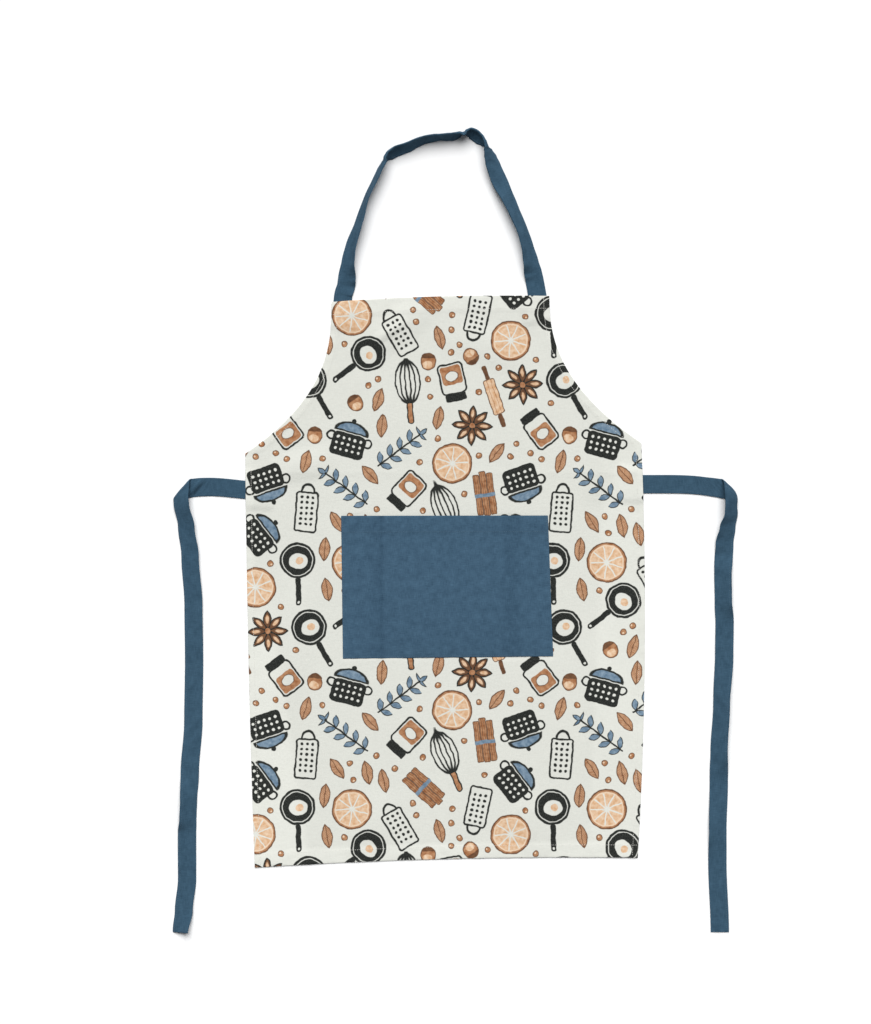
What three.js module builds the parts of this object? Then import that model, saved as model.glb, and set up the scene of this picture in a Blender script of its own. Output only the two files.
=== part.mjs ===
// A kitchen bib apron laid flat on a table, front side up: a printed cotton panel with turned hems,
// a patch pocket sewn on three sides, a neck strap that loops between the bib's corners, and two
// waist ties that are turned over once and laid down beside the panel.
// Units are millimetres, +X across the apron, +Y from the hem to the neck, +Z up off the table.
// The table is the plane z = 0 and the apron is centred over the origin.

import * as THREE from "three";

const { clamp, degToRad, lerp, radToDeg, smoothstep } = THREE.MathUtils;

// Driving sizes
const CLOTH = 1; // wall of one layer of cotton
const HEM_EXTRA = 0.6; // added where an edge is turned and sewn
const HEM_STEP = 2; // width of the slope from hem to single layer
const SIDE_HEM = 10;
const END_HEM = 20;
const STRAP_WIDTH = 26;
const STRAP_WALL = 1.6; // tape folded double and sewn
const STRAP_TUCK = 26; // length of strap sewn behind the panel
const CLEARANCE = 0.4; // kept between pieces that touch
const FOLD_RADIUS = 2; // of a tie's tape where it is turned over

// The panel: 310 across the bib, 564 across the waist, 800 long. These are its corners as it lies.
const CORNERS = {
  bib: { left: { x: -176, y: 324.5 }, right: { x: 134, y: 333 } },
  arm: { left: { x: -299, y: 108.5 }, right: { x: 265, y: 123.5 } },
  hem: { left: { x: -285.5, y: -481 }, right: { x: 260, y: -467 } },
};
const ARMHOLE_POWER = { left: 2.6, right: 2.35 }; // how late the armhole curve swings out
const SIDE_BOW = { left: -2, right: 7.5 }; // the sides bow out by this much half way down
const TOP_BOW = 3.8;
const HEM_BOW = 5.3;
const BIB_LENGTH = 213;
const SKIRT_LENGTH = 590;
const WAIST_WIDTH = 564;
const PANEL_CELLS = { across: 26, bib: 9, skirt: 23 };

// Soft folds in the panel: ridges that fade to nothing at their ends and sides
const FOLDS = [
  { x: -79, y: 290, turn: 37, length: 150, width: 64, height: 3.5 },
  { x: 40, y: 262, turn: -20, length: 170, width: 70, height: 2.5 },
  { x: -215, y: 92, turn: 12, length: 130, width: 56, height: 3 },
  { x: 206, y: 92, turn: 82, length: 130, width: 66, height: 3.5 },
  { x: -232, y: -170, turn: 84, length: 260, width: 80, height: 3 },
  { x: 214, y: -250, turn: 97, length: 280, width: 76, height: 3.5 },
  { x: -120, y: -425, turn: 72, length: 130, width: 90, height: 3 },
  { x: 110, y: -420, turn: 104, length: 120, width: 84, height: 2.5 },
];

// The pocket: 297 wide and 202 deep, open at the top, where it stands off the panel
const POCKET = {
  topLeft: { x: -162.5, y: 20 },
  topRight: { x: 132, y: 20.5 },
  bottomLeft: { x: -160, y: -183.5 },
  bottomRight: { x: 139.5, y: -180 },
};
const POCKET_WIDTH = 297;
const POCKET_DEPTH = 202;
const POCKET_HEM = 25;
const POCKET_RISE = 7;
const POCKET_FULLNESS = 4; // a higher power keeps the middle flatter and the seams steeper
const POCKET_CELLS = { across: 14, down: 8 };

// The neck strap from the bib's left corner round to its right one. Roll tips the tape up on its
// outer edge: at 90 degrees it stands upright, and past that it shows its other face. Curl is how
// far its raised edge is turned back from there.
const NECK_SECTIONS = [
  { x: -162.5, y: 298, roll: 0, curl: 0 },
  { x: -159.5, y: 334, roll: 0, curl: 0 },
  { x: -154, y: 358, roll: -9, curl: -32 },
  { x: -151.4, y: 381, roll: -38, curl: -38 },
  { x: -147.3, y: 404, roll: -50, curl: -25 },
  { x: -136.5, y: 438, roll: -65, curl: 0 },
  { x: -126, y: 472, roll: -74, curl: 0 },
  { x: -108, y: 511, roll: -75, curl: 10 },
  { x: -103, y: 523, roll: -84, curl: 54 },
  { x: -99.5, y: 530, roll: -116, curl: 98 },
  { x: -93, y: 536, roll: -134, curl: 108 },
  { x: -83, y: 541, roll: -133, curl: 76 },
  { x: -68, y: 545, roll: -123, curl: 40 },
  { x: -43, y: 555, roll: -111, curl: 20 },
  { x: -21.7, y: 558.5, roll: -105, curl: 18 },
  { x: -3, y: 560.5, roll: -116, curl: 50 },
  { x: 5, y: 563.5, roll: -112, curl: 84 },
  { x: 11.5, y: 565, roll: -84, curl: 60 },
  { x: 17, y: 566.5, roll: -118, curl: 96 },
  { x: 29.5, y: 563.5, roll: -141, curl: 102 },
  { x: 36, y: 558, roll: -138, curl: 108 },
  { x: 41.5, y: 552.5, roll: -122, curl: 106 },
  { x: 46, y: 546, roll: -98, curl: 84 },
  { x: 51, y: 529.5, roll: -53, curl: 24 },
  { x: 63.4, y: 495, roll: -30, curl: 0 },
  { x: 80, y: 461, roll: -50, curl: 9 },
  { x: 95.4, y: 426.5, roll: -55, curl: 8 },
  { x: 105, y: 392, roll: -42, curl: 0 },
  { x: 114, y: 350, roll: 0, curl: 0 },
  { x: 121.5, y: 308, roll: 0, curl: 0 },
];
const LIP_POWER = 4; // a higher power keeps the turned-back lip nearer the raised edge
const SECTION_STEPS = 10; // pieces that a section's curve is summed from
const NECK_STEPS = 3; // between two rows above
const NECK_CELLS = 6; // across the tape

// A tie leaves the panel sideways, bowed, is turned over at its corner and runs down the table.
// The rows give the run below the corner: how far down, where its middle lies, and its roll, which
// raises the edge towards the panel if it is positive.
const TIES = {
  left: {
    side: -1,
    root: { x: -272, y: 55 },
    corner: { x: -389.5, y: 58 },
    creaseBow: 0,
    run: [
      { down: 0, x: -390.5, roll: 22 },
      { down: 10, x: -390.3, roll: 30 },
      { down: 20, x: -389.3, roll: 30 },
      { down: 53, x: -382.8, roll: 22 },
      { down: 95, x: -377.5, roll: 14 },
      { down: 165, x: -372.8, roll: 6 },
      { down: 245, x: -372, roll: 0 },
      { down: 330, x: -373, roll: -3 },
      { down: 405, x: -378, roll: -8 },
      { down: 445, x: -379.5, roll: -27 },
      { down: 470, x: -380.5, roll: -26 },
      { down: 490, x: -382, roll: -6 },
      { down: 555, x: -382, roll: 0 },
      { down: 600, x: -386.5, roll: 8 },
      { down: 631, x: -391, roll: 30 },
    ],
  },
  right: {
    side: 1,
    root: { x: 240, y: 66 },
    corner: { x: 389.5, y: 57 },
    creaseBow: 2.5,
    run: [
      { down: 0, x: 392, roll: 40 },
      { down: 9, x: 392, roll: 44 },
      { down: 22, x: 391.8, roll: 47 },
      { down: 34, x: 392, roll: 42 },
      { down: 53, x: 387.5, roll: 28 },
      { down: 76, x: 383.5, roll: 10 },
      { down: 122, x: 380.9, roll: -26 },
      { down: 160, x: 381.5, roll: -27 },
      { down: 188, x: 383.7, roll: -3 },
      { down: 236, x: 383, roll: -8 },
      { down: 304, x: 378.9, roll: -32 },
      { down: 372, x: 375.4, roll: -28 },
      { down: 416, x: 375.5, roll: 0 },
      { down: 484, x: 373.7, roll: 14 },
      { down: 530, x: 373.5, roll: 0 },
      { down: 630, x: 377, roll: 0 },
    ],
  },
};
const LEVEL_BOW = 4.2; // the level run bows up the table by this much
const LEVEL_BOW_POWER = 1.6; // above 1 the bow is fullest past half way to the corner
const CREASE_BOW_REACH = 40; // past the corner's crease, where its own bow has faded
const ROLL_REACH = 12; // past the crease, where the tape has its full roll
const TIE_CELL = 14; // step along a tie
const TIE_FOLD_CELL = 2; // step along a tie close to its corner
const TIE_FOLD_REACH = 15; // how far from the corner the short steps run
const SKEW_REACH = 45; // where the tape's cross lines stop leaning towards the corner's crease
const TIE_DROP = { from: 18, to: 60 }; // down the run, where the tape comes back to the table
const TIE_CELLS = 4; // across the tape

const BLUE_COTTON = new THREE.MeshStandardMaterial({ color: 0x3f5e76, roughness: 0.92, metalness: 0 });
const PRINTED_COTTON = new THREE.MeshStandardMaterial({ color: 0xe4e2dc, roughness: 0.9, metalness: 0 });

// Closes two grids of points, the faces of one sheet, into a solid that faces outwards
function sheetSolid(top, bottom) {
  const rows = top.length;
  const columns = top[0].length;
  const points = [...top.flat(), ...bottom.flat()];
  const at = (row, column, layer) => (layer * rows + row) * columns + column;
  const triangles = [];
  const quad = (a, b, c, d) => triangles.push(a, b, c, a, c, d);
  for (let i = 0; i + 1 < rows; i++) {
    for (let j = 0; j + 1 < columns; j++) {
      quad(at(i, j, 0), at(i + 1, j, 0), at(i + 1, j + 1, 0), at(i, j + 1, 0));
      quad(at(i, j, 1), at(i, j + 1, 1), at(i + 1, j + 1, 1), at(i + 1, j, 1));
    }
    quad(at(i, 0, 0), at(i, 0, 1), at(i + 1, 0, 1), at(i + 1, 0, 0));
    quad(at(i, columns - 1, 0), at(i + 1, columns - 1, 0), at(i + 1, columns - 1, 1), at(i, columns - 1, 1));
  }
  for (let j = 0; j + 1 < columns; j++) {
    quad(at(0, j, 0), at(0, j + 1, 0), at(0, j + 1, 1), at(0, j, 1));
    quad(at(rows - 1, j, 0), at(rows - 1, j, 1), at(rows - 1, j + 1, 1), at(rows - 1, j + 1, 0));
  }
  let volume = 0;
  for (let i = 0; i < triangles.length; i += 3) {
    const [a, b, c] = triangles.slice(i, i + 3).map((n) => points[n]);
    volume += a.dot(b.clone().cross(c));
  }
  if (volume < 0) triangles.reverse();
  const geometry = new THREE.BufferGeometry().setFromPoints(points);
  geometry.setIndex(triangles);
  geometry.computeVertexNormals();
  return geometry;
}

function namedMesh(name, geometry, material) {
  const mesh = new THREE.Mesh(geometry, material);
  mesh.name = name;
  return mesh;
}

// Fractions along a length: its ends, both sides of each hem's step, and even cells between
function hemmedLines(length, startHem, endHem, cells) {
  const first = startHem ? startHem + HEM_STEP : 0;
  const last = endHem ? length - endHem - HEM_STEP : length;
  const even = Array.from({ length: cells + 1 }, (_, i) => lerp(first, last, i / cells));
  const start = startHem ? [0, startHem] : [];
  const end = endHem ? [length - endHem, length] : [];
  return [...start, ...even, ...end].map((distance) => distance / length);
}

// Panel

// The panel's edge on one side: v runs from 0 at the bib's top to 1 at the underarm and 2 at the hem
function panelEdge(side, v) {
  const [bib, arm, hem] = [CORNERS.bib[side], CORNERS.arm[side], CORNERS.hem[side]];
  if (v < 1) {
    return { x: lerp(bib.x, arm.x, v ** ARMHOLE_POWER[side]), y: lerp(bib.y, arm.y, v) };
  }
  const t = v - 1;
  return { x: lerp(arm.x, hem.x, t) + SIDE_BOW[side] * 4 * t * (1 - t), y: lerp(arm.y, hem.y, t) };
}

function panelPlace(u, v) {
  const left = panelEdge("left", v);
  const right = panelEdge("right", v);
  const middle = 4 * u * (1 - u);
  const bow = v < 1 ? TOP_BOW * (1 - v) ** 2 : HEM_BOW * (v - 1) ** 4;
  return { x: lerp(left.x, right.x, u), y: lerp(left.y, right.y, u) + bow * middle };
}

// A place in the axes of something that lies at x, y and is turned by an angle in degrees
function localTo({ x, y, turn }, place) {
  const angle = degToRad(turn);
  const [dx, dy] = [place.x - x, place.y - y];
  return {
    along: dx * Math.cos(angle) + dy * Math.sin(angle),
    across: dy * Math.cos(angle) - dx * Math.sin(angle),
  };
}

function foldHeight(fold, place) {
  const { along, across } = localTo(fold, place);
  const a = (2 * along) / fold.length;
  const b = (2 * across) / fold.width;
  return Math.abs(a) < 1 && Math.abs(b) < 1 ? fold.height * (1 - a * a) ** 2 * (1 - b * b) ** 2 : 0;
}

// The middle of the length of strap sewn behind the panel, from the strap's end towards its next place
function strapEnd(end, next) {
  const heading = Math.atan2(next.y - end.y, next.x - end.x);
  return {
    x: end.x + (STRAP_TUCK / 2) * Math.cos(heading),
    y: end.y + (STRAP_TUCK / 2) * Math.sin(heading),
    turn: radToDeg(heading),
  };
}

// Where the four strap ends lie under the panel, which rides up over them
const TUCKS = [
  strapEnd(NECK_SECTIONS.at(0), NECK_SECTIONS.at(1)),
  strapEnd(NECK_SECTIONS.at(-1), NECK_SECTIONS.at(-2)),
  strapEnd(TIES.left.root, TIES.left.corner),
  strapEnd(TIES.right.root, TIES.right.corner),
];
const TUCK_MARGIN = 20; // the panel is fully lifted this far round a strap's end
const TUCK_FALL = 40; // and comes down to the table over this distance

function tuckHeight(tuck, place) {
  const { along, across } = localTo(tuck, place);
  const past = Math.hypot(
    Math.max(Math.abs(along) - STRAP_TUCK / 2 - TUCK_MARGIN, 0),
    Math.max(Math.abs(across) - STRAP_WIDTH / 2 - TUCK_MARGIN, 0),
  );
  return (STRAP_WALL + CLEARANCE) * (1 - smoothstep(past, 0, TUCK_FALL));
}

function panelUnderside(place) {
  const folds = FOLDS.reduce((sum, fold) => sum + foldHeight(fold, place), 0);
  return TUCKS.reduce((highest, tuck) => Math.max(highest, tuckHeight(tuck, place)), folds);
}

function panelSolid() {
  const columns = hemmedLines(WAIST_WIDTH, SIDE_HEM, SIDE_HEM, PANEL_CELLS.across);
  const rows = [
    ...hemmedLines(BIB_LENGTH, END_HEM, 0, PANEL_CELLS.bib),
    ...hemmedLines(SKIRT_LENGTH, 0, END_HEM, PANEL_CELLS.skirt).slice(1).map((v) => 1 + v),
  ];
  const inHem = (index, lines) => index < 2 || index > lines.length - 3;
  const layer = (isTop) =>
    rows.map((v, i) =>
      columns.map((u, j) => {
        const place = panelPlace(u, v);
        const wall = CLOTH + (inHem(i, rows) || inHem(j, columns) ? HEM_EXTRA : 0);
        return new THREE.Vector3(place.x, place.y, panelUnderside(place) + (isTop ? wall : 0));
      }),
    );
  return sheetSolid(layer(true), layer(false));
}

// Pocket

function pocketSolid() {
  const columns = hemmedLines(POCKET_WIDTH, SIDE_HEM, SIDE_HEM, POCKET_CELLS.across);
  const rows = hemmedLines(POCKET_DEPTH, POCKET_HEM, 0, POCKET_CELLS.down);
  const { topLeft, topRight, bottomLeft, bottomRight } = POCKET;
  const layer = (isTop) =>
    rows.map((v, i) =>
      columns.map((u) => {
        const x = lerp(lerp(topLeft.x, topRight.x, u), lerp(bottomLeft.x, bottomRight.x, u), v);
        const y = lerp(lerp(topLeft.y, topRight.y, u), lerp(bottomLeft.y, bottomRight.y, u), v);
        const full = (1 - Math.abs(2 * u - 1) ** POCKET_FULLNESS) * (1 - v ** POCKET_FULLNESS);
        const wall = CLOTH + (i < 2 ? HEM_EXTRA : 0);
        const underside = CLOTH + CLEARANCE + POCKET_RISE * full;
        return new THREE.Vector3(x, y, underside + (isTop ? wall : 0));
      }),
    );
  return sheetSolid(layer(true), layer(false));
}

// Straps

// A length of tape from its middle surface, a function of the station along it and the offset across it
function tapeSolid(surface, stations, cells) {
  const offsets = Array.from({ length: cells + 1 }, (_, i) => STRAP_WIDTH * (i / cells - 0.5));
  const tiny = 0.01; // the reach of the differences that give the surface's slopes
  const face = (share) =>
    stations.map((s) =>
      offsets.map((w) => {
        const along = surface(s + tiny, w).sub(surface(s - tiny, w));
        const across = surface(s, w + tiny).sub(surface(s, w - tiny));
        const normal = along.cross(across).normalize();
        return surface(s, w).addScaledVector(normal, share * STRAP_WALL);
      }),
    );
  return sheetSolid(face(0.5), face(-0.5));
}

// Where a place w across the neck strap lies, out from the strap's middle line and up from the table.
// The section leans by roll from its lower edge, and turns by curl more towards its raised edge.
function neckSection(roll, curl, w) {
  const half = STRAP_WIDTH / 2;
  const reach = (offset) => {
    const step = offset / SECTION_STEPS;
    let [out, up] = [0, 0];
    for (let i = 0; i < SECTION_STEPS; i++) {
      const share = (half - (i + 0.5) * step) / STRAP_WIDTH;
      const angle = roll + curl * share ** LIP_POWER;
      out += step * Math.cos(angle);
      up += step * Math.sin(angle);
    }
    return { out, up };
  };
  const { out, up } = reach(w);
  const lowest = Math.min(reach(-half).up, reach(half).up);
  return { out, up: up - lowest + (STRAP_WALL / 2) * Math.abs(Math.cos(roll)) };
}

function neckStrapSolid() {
  const path = new THREE.CatmullRomCurve3(NECK_SECTIONS.map(({ x, y }) => new THREE.Vector3(x, y, 0)));
  const intervals = NECK_SECTIONS.length - 1;
  const surface = (s, w) => {
    const t = clamp(s, 0, intervals);
    const row = Math.min(Math.floor(t), intervals - 1);
    const [from, to] = [NECK_SECTIONS[row], NECK_SECTIONS[row + 1]];
    const share = smoothstep(t - row, 0, 1);
    const roll = degToRad(lerp(from.roll, to.roll, share));
    const curl = degToRad(lerp(from.curl, to.curl, share));
    const { out, up } = neckSection(roll, curl, w);
    const heading = path.getTangent(t / intervals);
    const outward = new THREE.Vector3(-heading.y, heading.x, 0).normalize();
    const beyond = s - t;
    return path
      .getPoint(t / intervals)
      .addScaledVector(heading, beyond)
      .addScaledVector(outward, out)
      .setZ(up);
  };
  const stations = Array.from({ length: intervals * NECK_STEPS + 1 }, (_, i) => i / NECK_STEPS);
  return tapeSolid(surface, stations, NECK_CELLS);
}

// The row of a tie's run at a distance down it, between the table's rows
function runAt(run, down) {
  const next = run.findIndex((row) => row.down > down);
  if (next === 0) return run[0];
  if (next < 0) return run[run.length - 1];
  const [a, b] = [run[next - 1], run[next]];
  const t = smoothstep(down, a.down, b.down);
  return { x: lerp(a.x, b.x, t), roll: lerp(a.roll, b.roll, t) };
}

// How high a tie's middle is when it is rolled this far with its lower edge on the table
function restingHeight(roll) {
  return (STRAP_WIDTH * Math.abs(Math.sin(roll)) + STRAP_WALL * Math.abs(Math.cos(roll))) / 2;
}

// The tape is laid out from the panel, and what lies past the corner's crease, a line at 45 degrees,
// is rolled over it: the tape then runs down the table on top of itself.
function tieSolid({ side, root, corner, creaseBow, run }) {
  const square = new THREE.Vector3(side, 1, 0).normalize(); // to the crease, away from the panel
  const halfTurn = Math.PI * FOLD_RADIUS;
  const takenUp = halfTurn / Math.SQRT2; // tape that the turn uses, measured along the run
  const toCorner = Math.abs(corner.x - root.x) - takenUp;
  const lean = (s) => 1 - smoothstep(Math.abs(s - toCorner), TIE_FOLD_REACH, SKEW_REACH);
  const surface = (station, w) => {
    const s = station + w * lean(station);
    const share = clamp(s / toCorner, 0, 1);
    const bow = LEVEL_BOW * Math.sin(Math.PI * share ** LEVEL_BOW_POWER);
    const level = lerp(root.y, corner.y, share) + bow;
    const point = new THREE.Vector3(root.x + side * s, level - w, STRAP_WALL / 2);
    const overCrease = (s - toCorner - w) / Math.SQRT2;
    const creaseShift = creaseBow * (1 - ((2 * w) / STRAP_WIDTH) ** 2);
    const past = overCrease - creaseShift * (1 - smoothstep(overCrease, 0, CREASE_BOW_REACH));
    const turned = clamp(past, 0, halfTurn) / FOLD_RADIUS;
    const back = FOLD_RADIUS * Math.sin(turned) - Math.max(past - halfTurn, 0);
    point.addScaledVector(square, back - Math.max(past, 0));
    const down = Math.max(corner.y - point.y, 0);
    const { x, roll } = runAt(run, down);
    const angle = degToRad(roll);
    const narrowed = x - corner.x - side * w * (1 - Math.cos(angle));
    if (past <= 0) {
      point.x += narrowed * (1 - smoothstep(-past, 0, ROLL_REACH));
      return point;
    }
    const raised = angle * smoothstep(past, 0, ROLL_REACH);
    point.x += narrowed;
    const dropped = 2 * FOLD_RADIUS * smoothstep(down, TIE_DROP.from, TIE_DROP.to);
    point.z += FOLD_RADIUS * (1 - Math.cos(turned)) - dropped;
    point.z += restingHeight(raised) - STRAP_WALL / 2 - w * Math.sin(raised);
    return point;
  };
  const end = toCorner + takenUp + run[run.length - 1].down;
  const stretch = (from, to, cell) => {
    const cells = Math.ceil((to - from) / cell);
    return Array.from({ length: cells }, (_, i) => lerp(from, to, i / cells));
  };
  const stations = [
    ...stretch(0, toCorner - TIE_FOLD_REACH, TIE_CELL),
    ...stretch(toCorner - TIE_FOLD_REACH, toCorner + TIE_FOLD_REACH, TIE_FOLD_CELL),
    ...stretch(toCorner + TIE_FOLD_REACH, end, TIE_CELL),
    end,
  ];
  return tapeSolid(surface, stations, TIE_CELLS);
}

const pieces = [
  namedMesh("apron_panel", panelSolid(), PRINTED_COTTON),
  namedMesh("front_pocket", pocketSolid(), BLUE_COTTON),
  namedMesh("neck_strap", neckStrapSolid(), BLUE_COTTON),
  namedMesh("waist_tie_left", tieSolid(TIES.left), BLUE_COTTON),
  namedMesh("waist_tie_right", tieSolid(TIES.right), BLUE_COTTON),
];

// Centre the laid-out apron over the origin, on the table
const laid = new THREE.Group().add(...pieces);
const box = new THREE.Box3().setFromObject(laid);
const middle = box.getCenter(new THREE.Vector3());
laid.position.set(-middle.x, -middle.y, -box.min.z);

export default new THREE.Group().add(laid);
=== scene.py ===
# Looks of a bib apron laid flat on a table: a printed cotton panel with turned hems, a blue patch
# pocket, a neck strap and two waist ties of blue tape, with their seams, creases and weave.
import math
import random

import bmesh
import bpy
import numpy as np
from mathutils import Matrix, Vector, noise


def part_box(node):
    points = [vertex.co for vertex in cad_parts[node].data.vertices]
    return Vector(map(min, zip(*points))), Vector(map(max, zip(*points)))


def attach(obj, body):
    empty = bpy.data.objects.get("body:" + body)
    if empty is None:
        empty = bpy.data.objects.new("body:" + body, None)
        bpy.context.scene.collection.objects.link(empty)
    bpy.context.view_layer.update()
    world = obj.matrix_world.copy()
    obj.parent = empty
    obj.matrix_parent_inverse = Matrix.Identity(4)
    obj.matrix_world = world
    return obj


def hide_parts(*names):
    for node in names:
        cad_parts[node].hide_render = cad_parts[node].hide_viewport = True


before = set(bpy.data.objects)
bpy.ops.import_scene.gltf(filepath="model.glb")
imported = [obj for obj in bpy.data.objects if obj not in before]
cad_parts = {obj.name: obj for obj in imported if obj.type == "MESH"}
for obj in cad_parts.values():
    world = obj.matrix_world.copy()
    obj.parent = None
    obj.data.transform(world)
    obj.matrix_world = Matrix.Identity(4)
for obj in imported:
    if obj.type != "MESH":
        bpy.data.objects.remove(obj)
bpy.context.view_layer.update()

# Sizes in millimetres, as the apron was cut and laid. CLOTH is the height that a layer of panel or pocket
# takes up, and the walls are the thickness drawn of each piece
MM = 0.001
CLOTH = 1.0
PANEL_WALL = 0.8
POCKET_WALL = 0.9
STRAP_WALL = 1.6
CLEARANCE = 0.4

# Hems, whose seam lies just inside their inner edge. A hem falls away over a short stretch at that edge,
# and each row of stitches pulls a dip into the cloth
SIDE_HEM = 10
END_HEM = 20
SEAM_INSET = 2
HEM_EXTRA = 0.6
HEM_FALL = (-0.8, 1.2)
HEM_DIP = 0.22
POCKET_DIP = 0.25
DIP_WIDTH = 1.2

# Strap and ties: how much is sewn behind the panel, how far the stitches lie from the edge, and how
# tightly a tie is turned over
STRAP_WIDTH = 26
STRAP_TUCK = 26
STRAP_SEAM = 3
STRAP_DIP = 0.1
STRAP_DIP_WIDTH = 1.3
FOLD_RADIUS = 2

# Unevenness of the cloth: height, wave length and layer of the noise
PANEL_SLACK = 0.5
PANEL_RIPPLES = [(0.5, 130, 0.5), (0.2, 30, 3.1), (0.07, 11, 7.7)]
POCKET_RIPPLES = [(0.35, 60, 2.4), (0.12, 22, 5.5)]
PUCKERS = [(0.5, 11, 4.2)]
# Puckers are full over this share of a hem and gone this far past it
PUCKER_SHARE = 0.4
PUCKER_REACH = 16
# The tapes pucker alike but each in a layer of its own
STRAP_RIPPLE = 0.25
STRAP_WAVE = 9
NECK_LAYER = 1.3
TIE_LAYERS = {"left": 5.1, "right": 6.1}

# The panel's corners, how its armholes curve, how far its edges bow, its lengths, and the rows and
# columns of its cloth
CORNERS = {
    "bib": {"left": (-176, 324.5), "right": (134, 333)},
    "arm": {"left": (-299, 108.5), "right": (265, 123.5)},
    "hem": {"left": (-285.5, -481), "right": (260, -467)},
}
ARMHOLE_POWER = {"left": 2.6, "right": 2.35}
SIDE_BOW = {"left": -2, "right": 7.5}
TOP_BOW = 3.8
HEM_BOW = 5.3
BIB_LENGTH = 213
SKIRT_LENGTH = 590
PANEL_COLUMNS = 176
BIB_ROWS = 66
SKIRT_ROWS = 184

# Soft folds in the panel: x, y, turn in degrees, length, width, height
FOLDS = [
    (-79, 290, 37, 150, 64, 3.5),
    (-92, 283, 32, 76, 20, 2.6),
    (40, 262, -20, 170, 70, 2.5),
    (-215, 92, 12, 130, 56, 3),
    (206, 92, 82, 130, 66, 3.5),
    (-232, -170, 84, 260, 80, 3),
    (214, -250, 97, 280, 76, 3.5),
    (-120, -425, 72, 130, 90, 3),
    (110, -420, 104, 120, 84, 2.5),
]
# Creases left by the folding in its packet: across or along the cloth, where, height, width
PRESS_CREASES = [
    ("along", -106, -1.0, 3.5),
    ("along", 75, 1.0, 3.5),
    ("across", 81, 0.5, 4.0),
]
# Painted shade beside the pocket's creases, in darker bands: along or across it, where, width, how much
# darker
POCKET_PAINTED_SHADE = [
    ("along", -112, 8, 0.10),
    ("along", -105, 2.2, 0.14),
    ("along", 79, 9, 0.13),
    ("across", 4, 3.5, 0.07),
]
# Painted light: bands painted paler along the panel's sides, outwards of a crease: its two ends and how
# much paler
PAINTED_LIGHT_BANDS = {
    "left": {"top": (-262, -110), "foot": (-208, -470), "pale": 0.075},
    "right": {"top": (213, 110), "foot": (190, -470), "pale": 0.05},
}
# How softly a band of painted light starts at its crease and ends at its top, the crease's own ridge, and
# how much paler the hems are, with the softness of their edge
BAND_EDGE = 6
BAND_FADE = 70
BAND_CREASE = {"height": 0.8, "width": 4}
HEM_PALENESS = 0.055
HEM_EDGE = 1
# The panel rides up over the strap ends: fully lifted this far round an end, down over the fall
TUCK_MARGIN = 6
TUCK_FALL = 12

POCKET = {
    "top_left": (-162.5, 20),
    "top_right": (132, 20.5),
    "bottom_left": (-160, -183.5),
    "bottom_right": (139.5, -180),
}
POCKET_WIDTH = 297
POCKET_DEPTH = 202
# The hem at its mouth, and the cloth turned in at its other edges
POCKET_HEM = 25
# How high the pocket stands and how squarely it bulges, how far in its seams hold it flat, the width
# that they pucker, and how deep its waves may sag
POCKET_RISE = 7
POCKET_FULLNESS = 4
POCKET_HELD = 20
POCKET_SEAM = 4
POCKET_SAG = 0.3
POCKET_COLUMNS = 150
POCKET_ROWS = 104

# The neck strap from its left end to its right: x and y of its middle line, how far the tape is rolled
# up on its outer edge, and how far its raised edge is turned back from there, in degrees
NECK_SECTIONS = [
    (-162.5, 298, 0, 0),
    (-160, 329, 0, 0),
    (-158.5, 338, -2, -24),
    (-155.5, 347, 0, 0),
    (-154, 358, -9, -32),
    (-151.4, 381, -38, -38),
    (-147.3, 404, -50, -25),
    (-136.5, 438, -65, 0),
    (-126, 472, -74, 0),
    (-115, 495, -73, 0),
    (-108, 511, -75, 10),
    (-103, 523, -84, 54),
    (-99.5, 530, -116, 98),
    (-93, 536, -134, 108),
    (-83, 541, -133, 76),
    (-68, 545, -123, 40),
    (-54.9, 551, -116, 28),
    (-43, 555, -111, 20),
    (-31.2, 557.3, -109, 18),
    (-21.7, 558.5, -105, 18),
    (-11, 559.2, -110, 26),
    (-3, 560.5, -116, 50),
    (5, 563.5, -112, 84),
    (11.5, 565, -84, 60),
    (17, 566.5, -118, 96),
    (23, 566.5, -138, 104),
    (29.5, 563.5, -141, 102),
    (36, 558, -138, 108),
    (41.5, 552.5, -122, 106),
    (46, 546, -98, 84),
    (48.4, 539.5, -72, 52),
    (51, 529.5, -53, 24),
    (54.4, 517.7, -40, 8),
    (63.4, 495, -30, 0),
    (75, 472, -46, 8),
    (85.5, 449.3, -53, 10),
    (95.4, 426.5, -55, 8),
    (102.3, 403.7, -49, 0),
    (107.6, 381, -34, 0),
    (111, 364, -10, 0),
    (114, 350, 0, 0),
    (121.5, 308, 0, 0),
]
# The strap's length, its rows of cloth from one section to the next, how near the raised edge the
# turning back starts, and the steps in which a section's bend is added up
NECK_LENGTH = 667
NECK_STEPS = 9
LIP_POWER = 4
SECTION_STEPS = 10

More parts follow.
